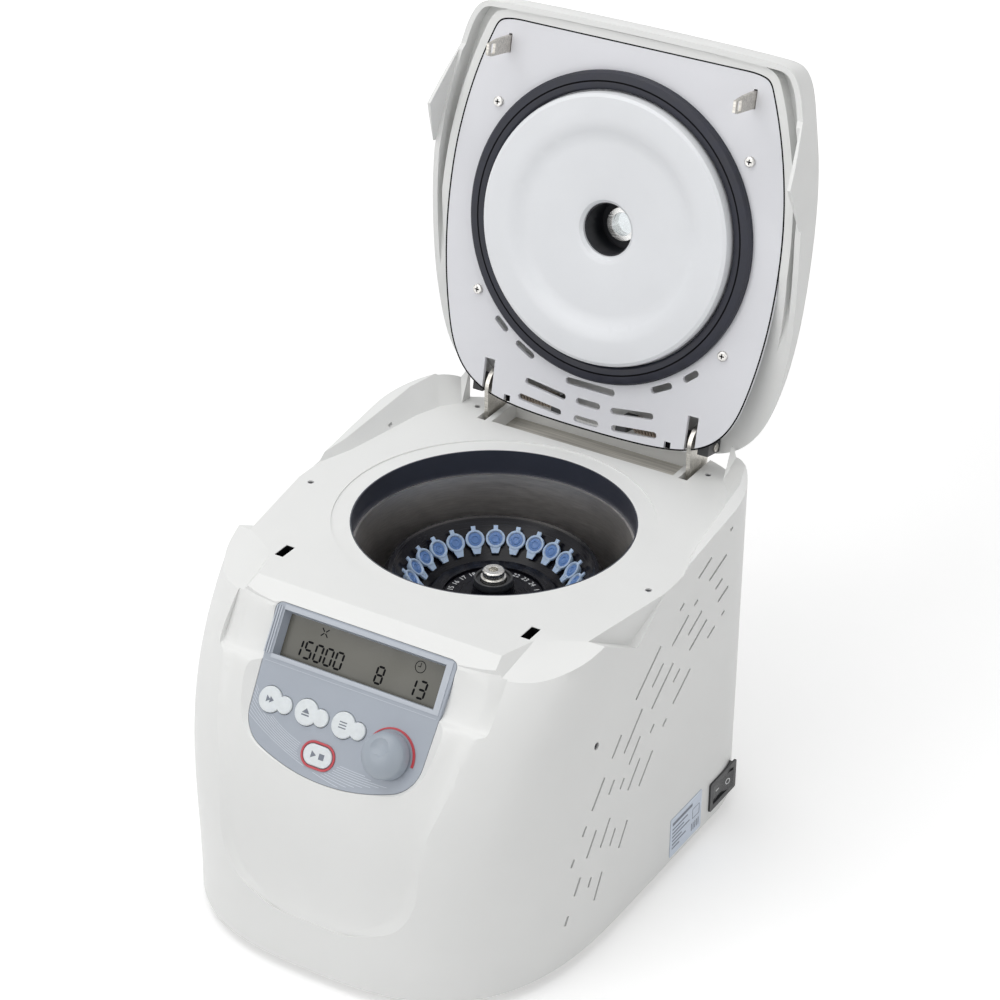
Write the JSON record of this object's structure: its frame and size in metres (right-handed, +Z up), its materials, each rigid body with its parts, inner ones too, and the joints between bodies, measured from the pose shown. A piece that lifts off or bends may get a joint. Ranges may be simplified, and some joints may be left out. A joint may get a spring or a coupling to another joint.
{
  "type": "microcentrifuge",
  "caption": "Benchtop microcentrifuge with a raised hinged lid, a steel bowl, an angled tube rotor, a sloping control panel with buttons and dial, and side vents.",
  "frame": {"origin": "on the bench below the rotor axis", "axes": "+Z up along the rotor axis, front with the control panel towards -Y, +X to the right of someone facing the front"},
  "size_m": [0.2841, 0.4201, 0.5194],
  "materials": {
    "white_plastic": "satin white shell",
    "lid_white": "satin white lid shell",
    "plate_white": "cool grey-white inner plate",
    "dish_white": "smooth white dish",
    "seal_rubber": "dark navy rubber",
    "collar_navy": "dark navy plastic",
    "bowl_steel": "brushed round the axis",
    "plain_steel": "bright sheet steel",
    "zinc_steel": "zinc plated",
    "dark_screw": "dark screw steel",
    "foot_rubber": "matt black rubber",
    "damper_rubber": "matt black rubber",
    "panel_grey": "blue-grey panel face",
    "display_lcd": "olive-grey liquid crystal display",
    "board_green": "solder-masked board",
    "black_plastic": "black plastic",
    "button_white": "pale button plastic",
    "red_trim": "red printed trim",
    "knob_grey": "blue-grey knob",
    "label_foil": "plain silver-blue label",
    "rocker_black": "black rocker",
    "rotor_black": "black anodised",
    "disc_black": "black printed disc",
    "nut_silver": "bright nut",
    "tube_blue": "translucent blue tube plastic",
    "cap_blue": "blue cap plastic",
    "motor_black": "black painted can",
    "copper_core": "laminated core",
    "sight_black": "black tube",
    "ring_alu": "bright ring",
    "window_clear": "clear window",
    "spring_steel": "spring wire"
  },
  "bodies": {
    "housing": {"housing_shell": "white_plastic", "base_plate": "zinc_steel", "feet": "foot_rubber", "deck_screws": "dark_screw", "side_screws": "dark_screw", "chamber_collar": "collar_navy", "chamber_bowl": "bowl_steel", "guard_ring": "plain_steel", "motor_can": "motor_black", "motor_bracket": "zinc_steel", "motor_dampers": "damper_rubber", "hinge_bracket": "plain_steel", "bracket_screws": "dark_screw", "control_panel": "panel_grey", "display_glass": "display_lcd", "panel_board": "board_green", "button_switches": "black_plastic", "encoder": "black_plastic", "start_ring": "red_trim", "knob_arc": "red_trim", "label_plate": "label_foil", "switch_frame": "black_plastic", "power_inlet": "black_plastic", "power_board": "board_green", "latch_frame": "zinc_steel", "latch_motor": "motor_black"},
    "lid": {"lid_shell": "lid_white", "lid_plate": "plate_white", "lid_dish": "dish_white", "lid_seal": "seal_rubber", "sight_tube": "sight_black", "sight_ring": "ring_alu", "sight_window": "window_clear", "latch_hooks": "plain_steel", "plate_screws": "dark_screw", "hinge_blocks": "black_plastic", "hinge_pins": "plain_steel", "lid_springs": "spring_steel"},
    "rotor": {"drive_shaft": "plain_steel", "armature": "copper_core", "rotor_body": "rotor_black", "tubes": "tube_blue", "tube_caps": "cap_blue", "number_disc": "disc_black", "rotor_collar": "black_plastic", "lock_nut": "nut_silver"},
    "left_button": {"button_left": "button_white"},
    "middle_button": {"button_middle": "button_white"},
    "right_button": {"button_right": "button_white"},
    "start_key": {"start_button": "button_white"},
    "dial": {"knob": "knob_grey"},
    "rocker": {"power_rocker": "rocker_black"},
    "pinion": {"latch_pinion": "black_plastic"},
    "bolt_right": {"latch_rack_right": "black_plastic", "latch_bolt_right": "plain_steel"},
    "bolt_left": {"latch_rack_left": "black_plastic", "latch_bolt_left": "plain_steel"}
  },
  "joints": [
    {"name": "lid_hinge", "type": "hinge", "parent": "housing", "child": "lid", "pos_m": [0, 0.1339, 0.2516], "axis": [1, 0, 0], "range_deg": [0, 100.9]},
    {"name": "rotor_spin", "type": "hinge", "parent": "housing", "child": "rotor", "pos_m": [0, 0, 0.18], "axis": [0, 0, 1], "continuous": true},
    {"name": "left_button_press", "type": "slide", "parent": "housing", "child": "left_button", "axis": [0, 0.8422, -0.5391], "range_m": [0, 0.0012], "stiffness_N_per_m": 900, "springref_m": -0.0006},
    {"name": "middle_button_press", "type": "slide", "parent": "housing", "child": "middle_button", "axis": [0, 0.8422, -0.5391], "range_m": [0, 0.0012], "stiffness_N_per_m": 900, "springref_m": -0.0006},
    {"name": "right_button_press", "type": "slide", "parent": "housing", "child": "right_button", "axis": [0, 0.8422, -0.5391], "range_m": [0, 0.0012], "stiffness_N_per_m": 900, "springref_m": -0.0006},
    {"name": "start_press", "type": "slide", "parent": "housing", "child": "start_key", "axis": [0, 0.8422, -0.5391], "range_m": [0, 0.0012], "stiffness_N_per_m": 900, "springref_m": -0.0006},
    {"name": "dial_turn", "type": "hinge", "parent": "housing", "child": "dial", "pos_m": [0.04, -0.18809, 0.1688], "axis": [0, -0.8422, 0.5391], "continuous": true},
    {"name": "rocker_tilt", "type": "hinge", "parent": "housing", "child": "rocker", "pos_m": [0.134, 0.0745, 0.027], "axis": [0, 0, 1], "range_deg": [0, 12]},
    {"name": "pinion_turn", "type": "hinge", "parent": "housing", "child": "pinion", "pos_m": [0, -0.112, 0.215], "axis": [0, 0, 1], "range_deg": [0, 77]},
    {"name": "right_bolt_slide", "type": "slide", "parent": "housing", "child": "bolt_right", "axis": [1, 0, 0], "range_m": [0, 0.008]},
    {"name": "left_bolt_slide", "type": "slide", "parent": "housing", "child": "bolt_left", "axis": [-1, 0, 0], "range_m": [0, 0.008]}
  ],
  "couplings": [
    {"joint": "pinion_turn", "follows": "right_bolt_slide", "rad_per_m": 166.67},
    {"joint": "left_bolt_slide", "follows": "right_bolt_slide", "ratio": 1}
  ]
}
